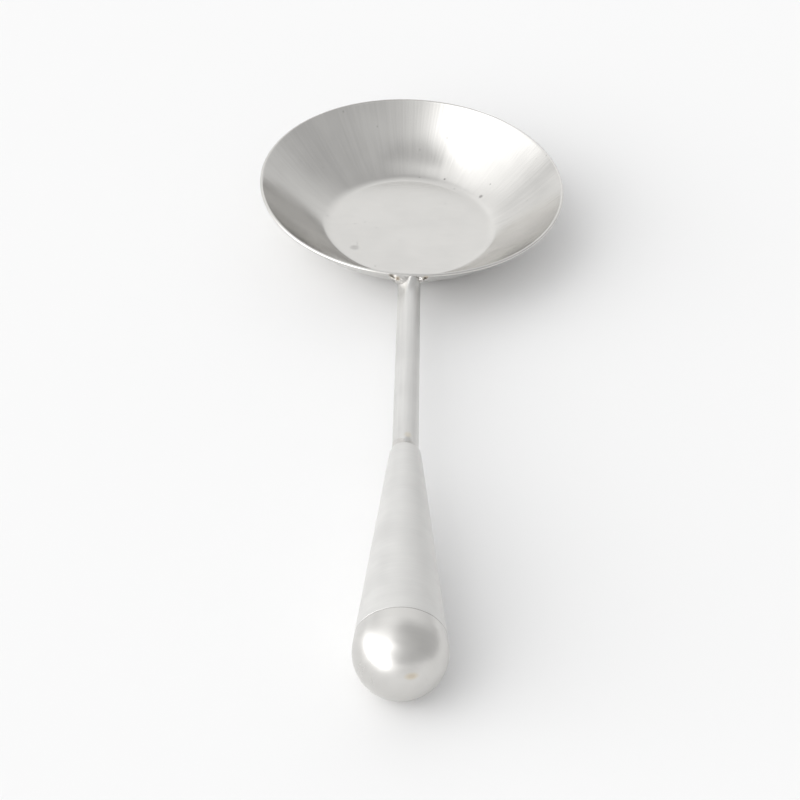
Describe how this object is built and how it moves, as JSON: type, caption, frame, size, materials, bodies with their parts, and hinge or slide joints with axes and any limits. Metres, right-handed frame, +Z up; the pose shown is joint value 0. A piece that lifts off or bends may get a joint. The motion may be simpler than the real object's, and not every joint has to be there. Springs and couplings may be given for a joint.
{
  "type": "serving spoon",
  "caption": "Round flat-bottomed serving spoon in welded stainless steel, with a flared bowl, a slim neck rod and a hollow tapered handle closed by a ball end.",
  "frame": {"origin": "centre of the flat underside of the bowl, on the table", "axes": "+Z up out of the bowl, -Y along the handle towards its ball end, +X to the right seen from the handle"},
  "size_m": [0.095, 0.2545, 0.0245],
  "materials": {
    "bowl_steel": "satin, brushed from floor to rim on the wall",
    "neck_steel": "satin, drawn along its length",
    "handle_steel": "fine satin, brushed round the axis",
    "cap_steel": "half polished",
    "weld_metal": "rough weld with heat tint, partly ground"
  },
  "bodies": {
    "root": {"bowl": "bowl_steel", "neck_rod": "neck_steel", "handle_shell": "handle_steel", "end_cap": "cap_steel", "bowl_weld_left": "weld_metal", "bowl_weld_right": "weld_metal", "nose_weld": "weld_metal", "cap_weld": "cap_steel"}
  },
  "joints": []
}
